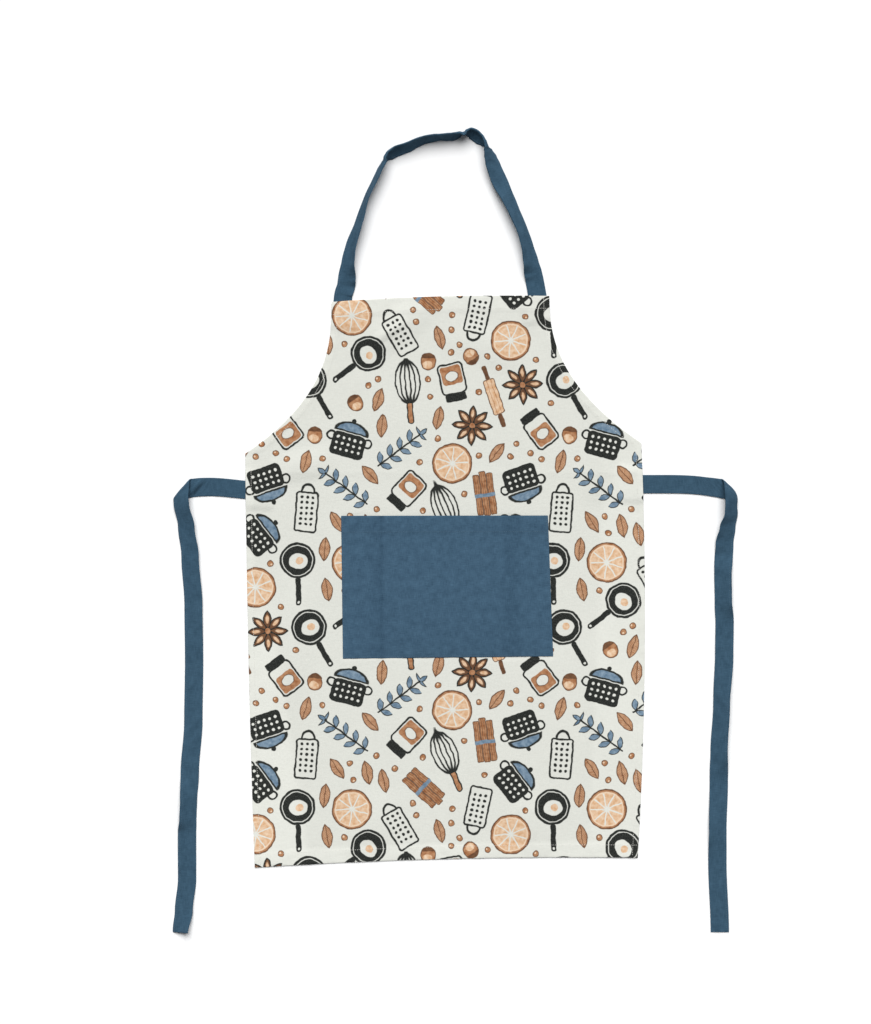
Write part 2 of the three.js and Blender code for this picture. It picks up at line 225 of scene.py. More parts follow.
# Each tie leaves the panel sideways, bowed, and is turned over at its corner. Its run down the table:
# how far down, x, and how far the tape is rolled in degrees, its inner edge up if that is positive
TIES = {
    "left": {
        "side": -1,
        "root": (-272, 55),
        "corner": (-389.5, 58),
        "crease_bow": 1,
        "run": [
            (0, -390.5, 22),
            (10, -390.3, 30),
            (20, -389.3, 30),
            (53, -382.8, 22),
            (95, -377.5, 14),
            (165, -372.8, 6),
            (245, -372, 0),
            (330, -373, -3),
            (405, -378, -8),
            (445, -379.5, -27),
            (470, -380.5, -26),
            (490, -382, -6),
            (555, -382, 0),
            (600, -386.5, 8),
            (631, -391, 30),
        ],
    },
    "right": {
        "side": 1,
        "root": (240, 66),
        "corner": (389.5, 57),
        "crease_bow": 4,
        "run": [
            (0, 392, 40),
            (9, 392, 44),
            (22, 391.8, 47),
            (34, 392, 42),
            (53, 387.5, 28),
            (76, 383.5, 10),
            (122, 380.9, -26),
            (160, 381.5, -27),
            (188, 383.7, -3),
            (236, 383, -8),
            (304, 378.9, -32),
            (372, 375.4, -28),
            (416, 375.5, 0),
            (484, 373.7, 14),
            (530, 373.5, 0),
            (630, 377, 0),
        ],
    },
}
# How far a tie bows up on its way to its corner and how late, then its rows of cloth: how far apart,
# and closer together by the corner
LEVEL_BOW = 4.2
LEVEL_BOW_POWER = 1.6
TIE_STEP = 3
TIE_FOLD_STEP = 0.8
TIE_FOLD_REACH = 15
# Lengths over which the rows turn to lie along the crease, the turned tie comes down to the table, the
# crease's bow dies away, and the roll sets in
SKEW_REACH = 45
TIE_DROP = (18, 60)
CREASE_BOW_REACH = 40
ROLL_REACH = 12
# A bulge in the left tie beside its corner: x, y, turn in degrees, length, width, height
TIE_BULGE = (-371.5, 60.6, 47, 46, 15, 5)
STRAP_COLUMNS = 20

# The cut edges are rounded by this share of the wall, where they turn by more than this many degrees
EDGE_ROUNDING = 0.3
EDGE_ANGLE = 50

# Stitches, and how far the thread's middle lies proud of the cloth
STITCH_PITCH = 3.2
STITCH_LENGTH = 2.5
THREAD_WIDTH = 0.6
THREAD_HEIGHT = 0.4
THREAD_LIFT = 0.12
STRAP_THREAD_LIFT = 0.08
# How many stitches are made in one go
STITCH_RUN = 40

# Where the laid apron sits in the shared frame
panel_low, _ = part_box("apron_panel")
LAID_X = panel_low[0] / MM - CORNERS["arm"]["left"][0]
LAID_Y = panel_low[1] / MM - CORNERS["hem"]["left"][1]


def in_frame(x, y, z):
    return Vector((x + LAID_X, y + LAID_Y, z)) * MM


def lerp(a, b, t):
    return a + (b - a) * t


def between(p, q, t):
    return [lerp(a, b, t) for a, b in zip(p, q)]


def ease(value, start, end):
    t = min(max((value - start) / (end - start), 0), 1)
    return t * t * (3 - 2 * t)


def local_to(x, y, turn, place):
    angle = math.radians(turn)
    dx, dy = place[0] - x, place[1] - y
    along = dx * math.cos(angle) + dy * math.sin(angle)
    return along, dy * math.cos(angle) - dx * math.sin(angle)


def ripple(x, y, wave, layer):
    return noise.noise(Vector((x / wave, y / wave, layer)))


def ripples(rows, x, y):
    return sum(height * ripple(x, y, wave, layer) for height, wave, layer in rows)


# Shape of the panel

def panel_edge(side, v):
    (bib_x, bib_y), (arm_x, arm_y), (hem_x, hem_y) = (CORNERS[row][side] for row in ("bib", "arm", "hem"))
    if v < 1:
        return lerp(bib_x, arm_x, v ** ARMHOLE_POWER[side]), lerp(bib_y, arm_y, v)
    t = v - 1
    return lerp(arm_x, hem_x, t) + SIDE_BOW[side] * 4 * t * (1 - t), lerp(arm_y, hem_y, t)


def panel_place(u, v):
    left, right = panel_edge("left", v), panel_edge("right", v)
    bow = TOP_BOW * (1 - v) ** 2 if v < 1 else HEM_BOW * (v - 1) ** 4
    return lerp(left[0], right[0], u), lerp(left[1], right[1], u) + bow * 4 * u * (1 - u)


def panel_gaps(u, v):
    """Distance to the nearest side edge, measured square to it, and to the nearer of bib top and hem"""
    side = "left" if u < 0.5 else "right"
    width = panel_edge("right", v)[0] - panel_edge("left", v)[0]
    slope = 0
    if v < 1:
        swing = CORNERS["arm"][side][0] - CORNERS["bib"][side][0]
        slope = swing * ARMHOLE_POWER[side] * v ** (ARMHOLE_POWER[side] - 1) / BIB_LENGTH
    to_side = min(u, 1 - u) * width / math.hypot(1, slope)
    to_end = v * BIB_LENGTH if v < 1 else (2 - v) * SKIRT_LENGTH
    return to_side, to_end


def fold_height(fold, place):
    x, y, turn, length, width, height = fold
    along, across = local_to(x, y, turn, place)
    a, b = 2 * along / length, 2 * across / width
    if abs(a) >= 1 or abs(b) >= 1:
        return 0
    return height * (1 - a * a) ** 2 * (1 - b * b) ** 2


def strap_end(end, towards):
    """Middle and turn of the length of strap sewn behind the panel, from its end to its next place"""
    heading = math.atan2(towards[1] - end[1], towards[0] - end[0])
    reach = STRAP_TUCK / 2
    return end[0] + reach * math.cos(heading), end[1] + reach * math.sin(heading), math.degrees(heading)


NECK_LINE = [row[:2] for row in NECK_SECTIONS]
TUCKS = [strap_end(NECK_LINE[0], NECK_LINE[1]), strap_end(NECK_LINE[-1], NECK_LINE[-2])]
TUCKS += [strap_end(tie["root"], tie["corner"]) for tie in TIES.values()]


def tuck_height(tuck, place):
    x, y, turn = tuck
    along, across = local_to(x, y, turn, place)
    past_end = max(abs(along) - STRAP_TUCK / 2 - TUCK_MARGIN, 0)
    past_side = max(abs(across) - STRAP_WIDTH / 2 - TUCK_MARGIN, 0)
    return (STRAP_WALL + CLEARANCE) * (1 - ease(math.hypot(past_end, past_side), 0, TUCK_FALL))


def press_height(place):
    total = 0
    for way, where, height, width in PRESS_CREASES:
        off = place[0] - where if way == "along" else place[1] - where
        total += height * math.exp(-abs(off) / width)
    return total


def band_place(side, place):
    """How far outwards of a painted-light band's crease a place lies, and how much of the band is left
    there
    """
    (top_x, top_y), (foot_x, foot_y) = PAINTED_LIGHT_BANDS[side]["top"], PAINTED_LIGHT_BANDS[side]["foot"]
    crease_x = lerp(top_x, foot_x, (place[1] - top_y) / (foot_y - top_y))
    outwards = crease_x - place[0] if side == "left" else place[0] - crease_x
    return outwards, 1 - ease(place[1], top_y - BAND_FADE, top_y + BAND_FADE)


def band_crease(place):
    total = 0
    for side in PAINTED_LIGHT_BANDS:
        outwards, share = band_place(side, place)
        total += share * BAND_CREASE["height"] * math.exp(-abs(outwards) / BAND_CREASE["width"])
    return total


def panel_paleness(u, v):
    """How much paler the cloth is than the rest, in its doubled hems and in the bands of painted light
    along its sides
    """
    to_side, to_end = panel_gaps(u, v)
    past_hem = min(
        ease(to_side, SIDE_HEM - HEM_EDGE, SIDE_HEM + HEM_EDGE),
        ease(to_end, END_HEM - HEM_EDGE, END_HEM + HEM_EDGE),
    )
    pale = HEM_PALENESS * (1 - past_hem)
    # Painted light: the bands along the sides are painted paler, as if more brightly lit
    for side, band in PAINTED_LIGHT_BANDS.items():
        outwards, share = band_place(side, panel_place(u, v))
        pale = max(pale, band["pale"] * share * ease(outwards, -BAND_EDGE, BAND_EDGE))
    return pale


def seam_dip(off, depth, width=DIP_WIDTH):
    """How deep a seam has pulled the cloth down, this far off the seam"""
    return depth * math.exp(-(off / width) ** 2)


def hem_height(gap, width):
    """Extra height of a turned hem, with the dip where its seam pulls it down"""
    fall = ease(gap, width + HEM_FALL[0], width + HEM_FALL[1])
    return HEM_EXTRA * (1 - fall) - seam_dip(gap - width + SEAM_INSET, HEM_DIP)


def pucker(x, y, gap, width):
    """Small waves that a seam leaves along a hem of this width"""
    return ripples(PUCKERS, x, y) * (1 - ease(gap, width * PUCKER_SHARE, width + PUCKER_REACH))


def panel_point(u, v):
    """A place on the panel's face. Under the pocket it has folds, but no creases or ripples."""
    x, y = place = panel_place(u, v)
    folded = sum(fold_height(fold, place) for fold in FOLDS)
    lift = max(folded, *(tuck_height(tuck, place) for tuck in TUCKS))
    to_side, to_end = panel_gaps(u, v)
    relief = PANEL_SLACK + ripples(PANEL_RIPPLES, x, y)
    relief += press_height(place) + band_crease(place)
    relief += pucker(x, y, to_side, SIDE_HEM) + pucker(x, y, to_end, END_HEM)
    within_sides = POCKET["top_left"][0] < x < POCKET["bottom_right"][0]
    within_ends = POCKET["bottom_left"][1] < y < POCKET["top_left"][1]
    relief = 0 if within_sides and within_ends else max(relief, 0)
    hem = max(hem_height(to_side, SIDE_HEM), hem_height(to_end, END_HEM), key=abs)
    return x, y, CLOTH + lift + relief + hem


# Shape of the pocket

def pocket_point(u, v):
    top = between(POCKET["top_left"], POCKET["top_right"], u)
    bottom = between(POCKET["bottom_left"], POCKET["bottom_right"], u)
    x, y = between(top, bottom, v)
    full = (1 - abs(2 * u - 1) ** POCKET_FULLNESS) * (1 - v ** POCKET_FULLNESS)
    to_seam = min(min(u, 1 - u) * POCKET_WIDTH, (1 - v) * POCKET_DEPTH)
    to_mouth = v * POCKET_DEPTH
    relief = press_height((x, y)) + ripples(POCKET_RIPPLES, x, y)
    relief = relief * ease(to_seam, 0, POCKET_HELD) + pucker(x, y, to_seam, POCKET_SEAM)
    hem = hem_height(to_mouth, POCKET_HEM) - seam_dip(to_seam - SEAM_INSET, POCKET_DIP)
    return x, y, 2 * CLOTH + CLEARANCE + POCKET_RISE * full + max(relief, -POCKET_SAG) + hem


# Shape of the tapes

def resting_height(roll):
    return (STRAP_WIDTH * abs(math.sin(roll)) + STRAP_WALL * abs(math.cos(roll))) / 2


def tape_section(roll, curl, w):
    """How far a place w across a rolled tape lies out from its middle line, and its height: the tape
    leans by roll from its lower edge, and turns by curl more towards its raised edge"""
    half = STRAP_WIDTH / 2

    def reach(offset):
        step = offset / SECTION_STEPS
        out = up = 0
        for i in range(SECTION_STEPS):
            share = (half - (i + 0.5) * step) / STRAP_WIDTH
            angle = roll + curl * share ** LIP_POWER
            out += step * math.cos(angle)
            up += step * math.sin(angle)
        return out, up

    out, up = reach(w)
    lowest = min(reach(-half)[1], reach(half)[1])
    return out, up - lowest + STRAP_WALL / 2 * abs(math.cos(roll))


def neck_path(t):
    """Point and heading of the smooth line through the neck strap's sections"""
    last = len(NECK_SECTIONS) - 1
    row = min(int(t), last - 1)
    f = t - row
    a, b, c, d = (
        Vector((*NECK_LINE[i], 0)) for i in (max(row - 1, 0), row, row + 1, min(row + 2, last))
    )
    curve = [2 * b, c - a, 2 * a - 5 * b + 4 * c - d, 3 * b - a - 3 * c + d]
    point = 0.5 * (curve[0] + curve[1] * f + curve[2] * f * f + curve[3] * f ** 3)
    heading = (curve[1] + 2 * curve[2] * f + 3 * curve[3] * f * f).normalized()
    return point, heading


def neck_surface(t, w):
    last = len(NECK_SECTIONS) - 1
    inside = min(max(t, 0), last)
    row = min(int(inside), last - 1)
    bend = between(NECK_SECTIONS[row][2:], NECK_SECTIONS[row + 1][2:], ease(inside - row, 0, 1))
    roll, curl = (math.radians(angle) for angle in bend)
    point, heading = neck_path(inside)
    outward = Vector((-heading.y, heading.x, 0))
    out, height = tape_section(roll, curl, w)
    point += heading * (t - inside) + outward * out
    point.z = height
    return point


def run_at(run, down):
    """Where a tie lies this far down its run, and how far it is rolled there"""
    if down <= run[0][0]:
        return run[0][1:]
    for (start, *above), (end, *below) in zip(run, run[1:]):
        if down <= end:
            return between(above, below, ease(down, start, end))
    return run[-1][1:]


def tie_shape(tie):
    """The tie's middle surface as a function, and the stations along it. The tape is laid straight
    out, and what lies past a crease at 45 degrees is rolled over it and runs down the table."""
    side, root, corner, run = tie["side"], tie["root"], tie["corner"], tie["run"]
    square = Vector((side, 1, 0)).normalized()
    half_turn = math.pi * FOLD_RADIUS
    taken_up = half_turn / math.sqrt(2)
    to_corner = abs(corner[0] - root[0]) - taken_up

    def surface(station, w):
        s = station + w * (1 - ease(abs(station - to_corner), TIE_FOLD_REACH, SKEW_REACH))
        share = min(max(s / to_corner, 0), 1)
        y = lerp(root[1], corner[1], share) + LEVEL_BOW * math.sin(math.pi * share ** LEVEL_BOW_POWER) - w
        point = Vector((root[0] + side * s, y, STRAP_WALL / 2))
        past = (s - to_corner - w) / math.sqrt(2)
        bow = tie["crease_bow"] * (1 - (2 * w / STRAP_WIDTH) ** 2)
        past -= bow * (1 - ease(past, 0, CREASE_BOW_REACH))
        turned = min(max(past, 0), half_turn) / FOLD_RADIUS
        back = FOLD_RADIUS * math.sin(turned) - max(past - half_turn, 0)
        point += square * (back - max(past, 0))
        down = max(corner[1] - point.y, 0)
        x, roll = run_at(run, down)
        angle = math.radians(roll)
        shift = x - corner[0] - side * w * (1 - math.cos(angle))
        if past <= 0:
            point.x += shift * (1 - ease(-past, 0, ROLL_REACH))
            point.z += fold_height(TIE_BULGE, point)
            return point
        raised = angle * ease(past, 0, ROLL_REACH)
        point.x += shift
        point.z += FOLD_RADIUS * (1 - math.cos(turned)) - 2 * FOLD_RADIUS * ease(down, *TIE_DROP)
        point.z += resting_height(raised) - STRAP_WALL / 2 - w * math.sin(raised)
        return point

    def stretch(start, end, step):
        count = math.ceil((end - start) / step)
        return [lerp(start, end, i / count) for i in range(count)]

    end = to_corner + taken_up + run[-1][0]
    stations = [
        *stretch(0, to_corner - SKEW_REACH, TIE_STEP),
        *stretch(to_corner - SKEW_REACH, to_corner + TIE_FOLD_REACH, TIE_FOLD_STEP),
        *stretch(to_corner + TIE_FOLD_REACH, end, TIE_STEP),
        end,
    ]
    return surface, stations


def surface_normal(surface, s, w):
    tiny = 0.02
    along = surface(s + tiny, w) - surface(s - tiny, w)
    across = surface(s, w + tiny) - surface(s, w - tiny)
    return along.cross(across).normalized()


def tape_point(surface, s, w, layer):
    """The tape's middle surface with its edge seams pulled in and a few soft puckers"""
    dip = seam_dip(abs(w) - STRAP_WIDTH / 2 + STRAP_SEAM, STRAP_DIP, STRAP_DIP_WIDTH)
    relief = STRAP_RIPPLE * ripple(s, w, STRAP_WAVE, layer) - dip
    return surface(s, w) + surface_normal(surface, s, w) * relief


# Mesh making

def finish_mesh(mesh, name, *materials):
    data = bpy.data.meshes.new(name)
    mesh.to_mesh(data)
    mesh.free()
    data.shade_smooth()
    piece = bpy.data.objects.new(name, data)
    bpy.context.collection.objects.link(piece)
    for material in materials:
        data.materials.append(material)
    return piece


def cloth_grid(columns, rows, point_at, flat_at, pale_at=None):
    """A fine grid of cloth: point_at(column, row) places each corner in millimetres, flat_at gives the
    same corner on the uncut cloth, which the weave and the print follow, and pale_at its paleness and
    painted light"""
    mesh = bmesh.new()
    bmesh.ops.create_grid(mesh, x_segments=columns, y_segments=rows, size=0.5)
    paleness_and_painted_light = mesh.verts.layers.float.new("paleness_and_painted_light") if pale_at else None
    flat = {}
    for vert in mesh.verts:
        column, row = round((vert.co.x + 0.5) * columns), round((0.5 - vert.co.y) * rows)
        flat[vert] = Vector(flat_at(column, row)) * MM
        vert.co = in_frame(*point_at(column, row))
        if pale_at:
            vert[paleness_and_painted_light] = pale_at(column, row)
    cloth = mesh.loops.layers.uv.new("cloth")
    for face in mesh.faces:
        for loop in face.loops:
            loop[cloth].uv = flat[loop.vert]
    return mesh


def give_wall(piece, thickness, offset, back_material=0):
    wall = piece.modifiers.new("wall", "SOLIDIFY")
    wall.thickness = thickness * MM
    wall.offset = offset
    wall.use_even_offset = True
    wall.material_offset = back_material
    soften = piece.modifiers.new("soft_edge", "BEVEL")
    soften.width = EDGE_ROUNDING * thickness * MM
    soften.segments = 2
    soften.limit_method = "ANGLE"
    soften.angle_limit = math.radians(EDGE_ANGLE)


def stitch_rows(name, rows, material):
    """Rows of thread: each stitch is a small rounded lozenge from one point of a row to the next.
    Short runs are made one by one and joined, which keeps the making quick."""
    ends = [pair for row in rows for pair in zip(row, row[1:])]
    shape = Matrix.Diagonal((THREAD_WIDTH * MM, THREAD_HEIGHT * MM, STITCH_LENGTH * MM, 1))
    joined = bmesh.new()
    for start in range(0, len(ends), STITCH_RUN):
        run = bmesh.new()
        for a, b in ends[start:start + STITCH_RUN]:
            turn = (b - a).to_track_quat("Z", "Y").to_matrix().to_4x4()
            place = Matrix.Translation((a + b) / 2) @ turn @ shape
            bmesh.ops.create_uvsphere(run, u_segments=6, v_segments=4, radius=0.5, matrix=place)
        data = bpy.data.meshes.new("run")
        run.to_mesh(data)
        run.free()
        joined.from_mesh(data)
        bpy.data.meshes.remove(data)
    return finish_mesh(joined, name, material)


def seam_row(point_at, start, end, length):
    """Points one stitch apart along a seam of this length: point_at takes a value from start to end"""
    count = max(round(length / STITCH_PITCH), 1)
    return [in_frame(*point_at(lerp(start, end, i / count))) for i in range(count + 1)]


def on_cloth(point):
    """A place on the cloth, raised to where the thread lies"""
    x, y, z = point
    return x, y, z + THREAD_LIFT


# Print: a scatter of kitchen things, repeated over the cloth
# Each motif's half width, half length and how many there are in one repeat
MOTIFS = {
    "skillet": (23, 40, 3),
    "pot": (29, 27, 3),
    "grater": (19, 33, 3),
    "whisk": (16, 40, 2),
    "sprig": (15, 37, 2),
    "citrus": (25, 25, 3),
    "anise": (25, 25, 2),
    "jar": (21, 28.5, 3),
    "cinnamon": (16, 30, 3),
    "spoon": (10, 41, 2),
    "rolling_pin": (8, 41, 2),
    "leaf": (7, 15, 14),
    "hazelnut": (10, 12, 16),
    "berry": (4.5, 4.5, 32),
}
SMALL_MOTIFS = ("leaf", "hazelnut", "berry")
MOTIF_NAMES = list(MOTIFS)
# The repeat's size, how much larger it is all printed, the scatter's tries for each motif, the gaps kept
# between motifs or taken as plenty, and how they are turned
REPEAT = np.array((313.0, 303.0))
PRINT_SCALE = 1.16
SCATTER_TRIES = 500
SCATTER_SEED = 11
LEAST_GAP = 2.6
MOST_GAP = 9 * LEAST_GAP
TURN_SPREAD = 30
TURNS = (0, 0, 0, 180)


def motif_discs(kind, x, y, turn):
    """A motif as a row of discs, for keeping motifs apart"""
    half_width, half_length, _ = MOTIFS[kind]
    spare = max(half_length - half_width, 0)
    count = 1 + math.ceil(spare / half_width)
    steps = [0] if count == 1 else np.linspace(-spare, spare, count)
    angle = math.radians(turn)
    return np.array([(x - s * math.sin(angle), y + s * math.cos(angle), half_width) for s in steps])


def scatter_motifs():
    """Places the motifs, the largest first: large ones snugly against those already there, and small
    ones where they have the most room"""
    rng = random.Random(SCATTER_SEED)
    placed, taken = [], np.zeros((0, 3))
    for kind, (_, _, count) in MOTIFS.items():
        for _ in range(count):
            fits = []
            for _ in range(SCATTER_TRIES):
                x, y = rng.random() * REPEAT[0], rng.random() * REPEAT[1]
                turn = rng.gauss(0, TURN_SPREAD) + rng.choice(TURNS)
                own = motif_discs(kind, x, y, turn)
                off = own[:, None, :2] - taken[None, :, :2]
                off -= REPEAT * np.round(off / REPEAT)
                gaps = np.hypot(off[..., 0], off[..., 1]) - own[:, None, 2] - taken[None, :, 2]
                gap = gaps.min(initial=MOST_GAP)
                if gap > LEAST_GAP:
                    fits.append((gap, (kind, x, y, turn), own))
            if fits:
                pick = max if kind in SMALL_MOTIFS else min
                _, motif, own = pick(fits, key=lambda fit: fit[0])
                placed.append(motif)
                taken = np.vstack((taken, own))
    return placed


def chart_print(mesh):
    """Gives every face of the panel the motif it lies nearest to, and its place within that motif"""
    motifs = scatter_motifs()
    centres = np.array([motif[1:3] for motif in motifs])
    angles = np.radians([motif[3] for motif in motifs])
    spares = np.array([max(MOTIFS[m[0]][1] - MOTIFS[m[0]][0], 0) for m in motifs])
    widths = np.array([MOTIFS[m[0]][0] for m in motifs])
    cloth = mesh.loops.layers.uv["cloth"]
    local = mesh.loops.layers.uv.new("motif")
    kind_layer = mesh.faces.layers.float.new("motif_kind")
    faces = list(mesh.faces)
    unit = MM * PRINT_SCALE
    middles = np.array([np.mean([loop[cloth].uv for loop in face.loops], axis=0) for face in faces]) / unit
    off = middles[:, None, :] - centres[None]
    off -= REPEAT * np.round(off / REPEAT)
    along = off[..., 1] * np.cos(angles) - off[..., 0] * np.sin(angles)
    across = off[..., 0] * np.cos(angles) + off[..., 1] * np.sin(angles)
    gap = np.hypot(across, np.maximum(np.abs(along) - spares, 0)) - widths
    nearest = gap.argmin(axis=1)
    for i, face in enumerate(faces):
        motif = nearest[i]
        centre = middles[i] - off[i, motif]
        cos, sin = math.cos(angles[motif]), math.sin(angles[motif])
        face[kind_layer] = MOTIF_NAMES.index(motifs[motif][0])
        for loop in face.loops:
            x, y = np.array(loop[cloth].uv) / unit - centre
            loop[local].uv = (x * cos + y * sin, y * cos - x * sin)


# Colours

def ink(red, green, blue):
    """A colour given on a 0 to 255 scale, as the shader takes it"""
    def linear(level):
        level /= 255
        return level / 12.92 if level < 0.04045 else ((level + 0.055) / 1.055) ** 2.4
    return linear(red), linear(green), linear(blue), 1


GROUND = ink(218, 219, 211)
CHARCOAL = ink(34, 36, 34)
FADED_CHARCOAL = ink(80, 83, 79)
RUST = ink(150, 97, 62)
PALE_RUST = ink(188, 143, 108)
COCOA = ink(90, 62, 46)
PALE_COCOA = ink(120, 86, 62)
PEACH = ink(206, 160, 118)
PALE_PEACH = ink(228, 202, 174)
DUSTY_BLUE = ink(88, 113, 135)
PALE_BLUE = ink(136, 156, 172)
STEEL_BLUE = ink(48, 72, 92)
PALE_STEEL = ink(78, 108, 131)
TAPE_BLUE = ink(42, 66, 83)
PALE_TAPE = ink(70, 99, 120)

# How soft the print's edges are and how far they wander, in the motifs' own millimetres
INK_EDGE = 0.7
WOBBLE = 1.7


class Shading:
    """Builds a material's nodes: sums, distances on the cloth in millimetres, masks and paint"""

    def __init__(self, name):
        self.material = bpy.data.materials.new(name)
        self.material.use_nodes = True
        self.tree = self.material.node_tree
        self.shader = self.tree.nodes["Principled BSDF"]

    def node(self, kind, **settings):
        made = self.tree.nodes.new(kind)
        for key, value in settings.items():
            setattr(made, key, value)
        return made

    def feed(self, socket, value):
        if isinstance(value, bpy.types.NodeSocket):
            self.tree.links.new(value, socket)
        else:
            socket.default_value = value

    def sum(self, operation, *values, clamp=False):
        made = self.node("ShaderNodeMath", operation=operation, use_clamp=clamp)
        for socket, value in zip(made.inputs, values):
            self.feed(socket, value)
        return made.outputs[0]

    def vector(self, operation, *values):
        made = self.node("ShaderNodeVectorMath", operation=operation)
        for socket, value in zip(made.inputs, values):
            self.feed(socket, value)
        return made.outputs["Value" if operation in ("LENGTH", "DISTANCE", "DOT_PRODUCT") else "Vector"]

    def parts(self, vector):
        made = self.node("ShaderNodeSeparateXYZ")
        self.feed(made.inputs[0], vector)
        return made.outputs[0], made.outputs[1]

    def pair(self, x, y):
        made = self.node("ShaderNodeCombineXYZ")
        self.feed(made.inputs[0], x)
        self.feed(made.inputs[1], y)
        return made.outputs[0]

    def grey(self, level):
        made = self.node("ShaderNodeCombineXYZ")
        for socket in made.inputs:
            self.feed(socket, level)
        return made.outputs[0]

    def levels(self, tone, gain, offset):
        """A tone with its contrast changed, kept from 0 to 1"""
        return self.sum("MULTIPLY_ADD", tone, gain, offset, clamp=True)

    def paint(self, under, mask, over):
        made = self.node("ShaderNodeMix", data_type="RGBA")
        self.feed(made.inputs[0], mask)
        self.feed(made.inputs[6], under)
        self.feed(made.inputs[7], over)
        return made.outputs[2]

    def uv(self, name):
        return self.node("ShaderNodeUVMap", uv_map=name).outputs[0]

    def cloud(self, place, scale, detail=2.0, output="Fac"):
        """Soft noise, with this many waves to the metre along x, y and z"""
        made = self.node("ShaderNodeTexNoise")
        self.feed(made.inputs["Vector"], self.vector("MULTIPLY", place, scale))
        made.inputs["Scale"].default_value = 1
        made.inputs["Detail"].default_value = detail
        return made.outputs[output]

    def bump(self, height, distance, strength=1.0):
        made = self.node("ShaderNodeBump")
        made.inputs["Strength"].default_value = strength
        made.inputs["Distance"].default_value = distance
        self.feed(made.inputs["Height"], height)
        self.feed(self.shader.inputs["Normal"], made.outputs[0])

    def disc(self, place, at, radius):
        return self.sum("SUBTRACT", self.vector("DISTANCE", place, (*at, 0)), radius)

    def oval(self, place, at, half):
        scaled = self.vector("DIVIDE", self.vector("SUBTRACT", place, (*at, 0)), (*half, 1))
        return self.sum("MULTIPLY_ADD", self.vector("LENGTH", scaled), min(half), -min(half))

    def bar(self, place, at, half, rounding):
        reach = self.vector("ABSOLUTE", self.vector("SUBTRACT", place, (*at, 0)))
        past = self.vector("SUBTRACT", reach, (half[0] - rounding, half[1] - rounding, 0))
        past = self.vector("MAXIMUM", past, (0, 0, 0))
        return self.sum("SUBTRACT", self.vector("LENGTH", past), rounding)

    def petal(self, place, at, half_width, half_length):
        """A leaf shape along y; place is already folded so that x is not negative"""
        radius = (half_length ** 2 + half_width ** 2) / (2 * half_width)
        return self.disc(place, (at[0] + half_width - radius, at[1]), radius)

    def filled(self, distance):
        return self.sum("MULTIPLY_ADD", distance, -1 / INK_EDGE, 0.5, clamp=True)

    def stroke(self, distance, width):
        return self.filled(self.sum("SUBTRACT", self.sum("ABSOLUTE", distance), width / 2))

    def fill(self, under, shape, over):
        return self.paint(under, self.filled(shape), over)

    def line(self, under, shape, width, over):
        return self.paint(under, self.stroke(shape, width), over)

    def joined(self, a, b):
        return self.sum("MINIMUM", a, b)

    def both(self, a, b):
        return self.sum("MULTIPLY", a, b)

    def above(self, distance, y, level):
        return self.sum("MAXIMUM", distance, self.sum("SUBTRACT", level, y))


# Motifs, each drawn round its own middle, upright

def dot_grid(s, place, spacing):
    """Place folded so that one dot drawn at its origin is repeated at twice this spacing"""
    x, y = s.parts(place)
    return s.pair(s.sum("PINGPONG", x, spacing), s.sum("PINGPONG", y, spacing))


def draw_skillet(s, place, inks):
    pan = s.disc(place, (0, 16), 22)
    handle = s.bar(place, (0, -22), (3.4, 17), 3)
    drawn = s.fill(GROUND, s.joined(pan, handle), inks["charcoal"])
    drawn = s.line(drawn, s.disc(place, (0, 16), 18.5), 1.0, GROUND)
    drawn = s.fill(drawn, s.oval(place, (1, 15), (11.5, 9.5)), GROUND)
    drawn = s.fill(drawn, s.disc(place, (2.5, 15.5), 4.6), inks["peach"])
    return s.fill(drawn, s.disc(place, (0, -35), 1.5), GROUND)


def draw_whisk(s, place, inks):
    drawn = GROUND
    for half_width in (15, 9, 3.2):
        drawn = s.line(drawn, s.oval(place, (0, 12), (half_width, 26)), 1.9, inks["charcoal"])
    handle = s.bar(place, (0, -26), (3.2, 13), 2.8)
    drawn = s.fill(drawn, handle, inks["rust"])
    drawn = s.line(drawn, handle, 1.6, inks["charcoal"])
    return s.fill(drawn, s.bar(place, (0, -13), (4, 1.8), 0.9), inks["charcoal"])


def draw_pot(s, place, inks):
    body = s.bar(place, (0, -8), (21, 14.5), 6)
    _, y = s.parts(place)
    lid = s.above(s.oval(place, (0, 9), (20, 11)), y, 8.6)
    handles = s.disc(s.vector("ABSOLUTE", place), (23, 0), 5)
    drawn = s.line(GROUND, handles, 2.4, inks["charcoal"])
    drawn = s.fill(drawn, lid, inks["blue"])
    drawn = s.line(drawn, lid, 2.2, inks["charcoal"])
    drawn = s.fill(drawn, body, inks["charcoal"])
    enamel = s.filled(s.bar(place, (0, -8), (18, 11.5), 5))
    dots = s.filled(s.disc(dot_grid(s, place, 3.6), (0, 0), 1.7))
    drawn = s.paint(drawn, s.both(dots, enamel), GROUND)
    return s.fill(drawn, s.disc(place, (0, 22.5), 3), inks["charcoal"])


def draw_grater(s, place, inks):
    body = s.bar(place, (0, -5), (13, 24), 3)
    handle = s.oval(place, (0, 19), (8, 10))
    drawn = s.line(GROUND, handle, 2.6, inks["charcoal"])
    drawn = s.fill(drawn, body, GROUND)
    inner = s.filled(s.bar(place, (0, -3.2), (10, 19.8), 2))
    holes = s.filled(s.disc(dot_grid(s, place, 3.3), (0, 0), 1.9))
    drawn = s.paint(drawn, s.both(holes, inner), inks["charcoal"])
    return s.line(drawn, body, 2.3, inks["charcoal"])


